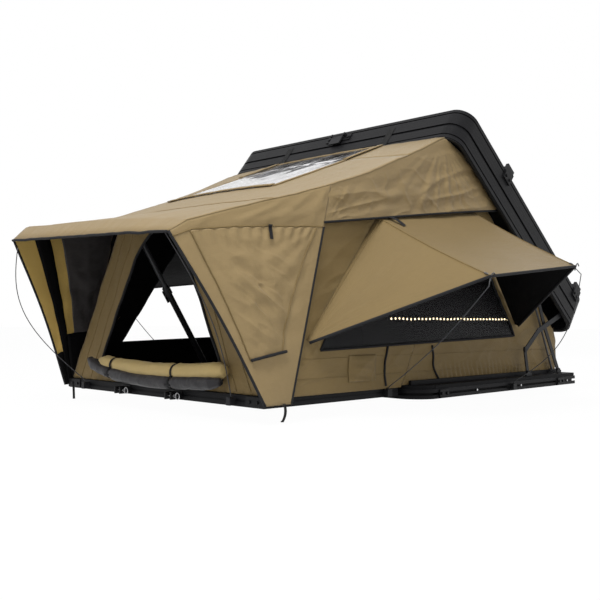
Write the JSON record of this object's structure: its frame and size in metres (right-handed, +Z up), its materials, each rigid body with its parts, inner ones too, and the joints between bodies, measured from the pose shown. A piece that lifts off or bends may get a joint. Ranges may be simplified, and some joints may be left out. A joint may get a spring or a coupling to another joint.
{
  "type": "roof top tent",
  "caption": "Hard shell roof top tent standing open: a black lid lifted on arms and gas struts over tan canvas, with a fold-out annex floor, roof poles, awnings and an arched door.",
  "frame": {"origin": "middle of the rails' underside, between the four mounting holes", "axes": "+Z up, +X from the fold-out annex to the lid linkage, +Y across"},
  "size_m": [2.5212, 2.3056, 1.2415],
  "materials": {
    "frame_black": "satin black",
    "panel": "textured",
    "bracket": "satin black",
    "plastic_black": "matte",
    "steel": "brushed",
    "spring_steel": "drawn",
    "strut_black": "gloss",
    "pole_grey": "anodised",
    "pole_bright": "anodised",
    "canvas": "woven",
    "fly": "coated ripstop",
    "mesh": "mesh",
    "clear_film": "gloss film",
    "light": "diffuser",
    "mattress": "knit",
    "rubber": "matte",
    "webbing": "webbing"
  },
  "bodies": {
    "base": {"base_perimeter_rail": "frame_black", "rear_cross_rail": "frame_black", "base_floor_panel": "panel", "base_rim": "frame_black", "main_mattress": "mattress", "base_hinge_plates": "bracket", "linkage_brackets": "bracket", "mounting_clamps": "steel", "rail_fasteners": "steel", "rod_sockets": "plastic_black", "window_rods_rear": "spring_steel", "main_wall_near": "canvas", "main_wall_far": "canvas", "rear_wall": "canvas", "main_roof": "fly", "fly_valances": "fly", "window_awning_near": "canvas", "window_awning_far": "canvas", "window_mesh": "mesh", "skylight_pane": "clear_film", "led_strip": "light"},
    "lid": {"lid_skin": "panel", "lid_frame": "frame_black", "lid_seal": "rubber", "lid_crossbars": "frame_black", "crossbar_brackets": "bracket", "lid_pivot_brackets": "bracket", "lid_latch_plate": "plastic_black", "lid_straps": "webbing"},
    "latch": {"lid_latch_lever": "steel"},
    "post": {"post_links": "bracket"},
    "lid_arm": {"lid_arms": "bracket"},
    "slide_arm": {"slide_arms": "bracket"},
    "strut_rod": {"strut_rods": "steel"},
    "strut_tube": {"strut_tubes": "strut_black"},
    "annex": {"annex_frame": "frame_black", "annex_floor_panel": "panel", "annex_mattress": "mattress", "annex_hinge_plates": "bracket", "corner_brackets": "bracket", "ladder_brackets": "bracket", "pole_feet": "bracket", "annex_wall_near": "canvas", "annex_wall_far": "canvas", "front_wall": "canvas", "annex_roof": "fly", "fly_leg_near": "fly", "fly_leg_far": "fly", "door_roll": "canvas", "awning_rods": "spring_steel", "window_rods_front": "spring_steel"},
    "ladder_pin_near": {"ladder_pin_near": "steel"},
    "ladder_pin_far": {"ladder_pin_far": "steel"},
    "pole_lower": {"pole_tubes_lower": "pole_grey"},
    "pole_upper": {"pole_tubes_upper": "pole_bright", "spreader_bar": "pole_grey"},
    "pole_lever_near": {"pole_lever_near": "plastic_black"},
    "pole_lever_far": {"pole_lever_far": "plastic_black"}
  },
  "joints": [
    {"name": "post_turn", "type": "hinge", "parent": "base", "child": "post", "pos_m": [0.238, 0, 0.069], "axis": [0, -1, 0], "range_deg": [0, 70.75]},
    {"name": "lid_arm_turn", "type": "hinge", "parent": "post", "child": "lid_arm", "pos_m": [0.21168, 0, 0.183], "axis": [0, -1, 0], "range_deg": [-93.95, 0]},
    {"name": "lid_tilt", "type": "hinge", "parent": "lid_arm", "child": "lid", "pos_m": [0.59142, 0, 0.36008], "axis": [0, -1, 0], "range_deg": [0, 61.2], "deforming": ["main_wall_near", "main_wall_far", "rear_wall", "main_roof", "fly_valances", "window_awning_near", "window_awning_far", "window_mesh", "skylight_pane", "led_strip", "window_rods_rear"]},
    {"name": "slide_arm_turn", "type": "hinge", "parent": "base", "child": "slide_arm", "pos_m": [0.548, 0, 0.07], "axis": [0, -1, 0], "range_deg": [0, 56.5]},
    {"name": "strut_turn", "type": "hinge", "parent": "base", "child": "strut_rod", "pos_m": [0.517, 0, 0.069], "axis": [0, -1, 0], "range_deg": [0, 54.25]},
    {"name": "strut_slide", "type": "slide", "parent": "strut_rod", "child": "strut_tube", "axis": [-0.4695, 0, 0.8829], "range_m": [-0.20941, 0]},
    {"name": "annex_fold", "type": "hinge", "parent": "base", "child": "annex", "pos_m": [-0.675, 0, 0.118], "axis": [0, 1, 0], "range_deg": [0, 180], "deforming": ["annex_wall_near", "annex_wall_far", "front_wall", "annex_roof", "fly_leg_near", "fly_leg_far", "awning_rods", "window_rods_front", "door_roll"]},
    {"name": "pole_fold", "type": "hinge", "parent": "annex", "child": "pole_lower", "pos_m": [-0.97, 0, 0.118], "axis": [0, -1, 0], "range_deg": [0, 56.85]},
    {"name": "pole_slide", "type": "slide", "parent": "pole_lower", "child": "pole_upper", "axis": [-0.5476, 0, 0.8368], "range_m": [-0.3105, 0]},
    {"name": "pole_lever_far_turn", "type": "hinge", "parent": "pole_lower", "child": "pole_lever_far", "pos_m": [-1.18136, 0.261, 0.44099], "axis": [0.8368, 0, 0.5476], "range_deg": [0, 100]},
    {"name": "pole_lever_near_turn", "type": "hinge", "parent": "pole_lower", "child": "pole_lever_near", "pos_m": [-1.18136, -0.261, 0.44099], "axis": [-0.8368, 0, -0.5476], "range_deg": [0, 100]},
    {"name": "latch_turn", "type": "hinge", "parent": "lid", "child": "latch", "pos_m": [-0.34003, 0, 1.21852], "axis": [0, 1, 0], "range_deg": [0, 100]},
    {"name": "ladder_pin_near_slide", "type": "slide", "parent": "annex", "child": "ladder_pin_near", "axis": [0, -1, 0], "range_m": [0, 0.02]},
    {"name": "ladder_pin_far_slide", "type": "slide", "parent": "annex", "child": "ladder_pin_far", "axis": [0, -1, 0], "range_m": [0, 0.02]}
  ],
  "couplings": [
    {"joint": "post_turn", "follows": "lid_tilt", "ratio": 1.1552},
    {"joint": "lid_arm_turn", "follows": "lid_tilt", "ratio": -1.5343},
    {"joint": "slide_arm_turn", "follows": "lid_tilt", "ratio": 0.92239},
    {"joint": "strut_turn", "follows": "lid_tilt", "ratio": 0.88555},
    {"joint": "strut_slide", "follows": "lid_tilt", "m_per_rad": -0.19558},
    {"joint": "pole_fold", "follows": "annex_fold", "ratio": 0.31556},
    {"joint": "pole_slide", "follows": "annex_fold", "m_per_rad": -0.098676}
  ]
}
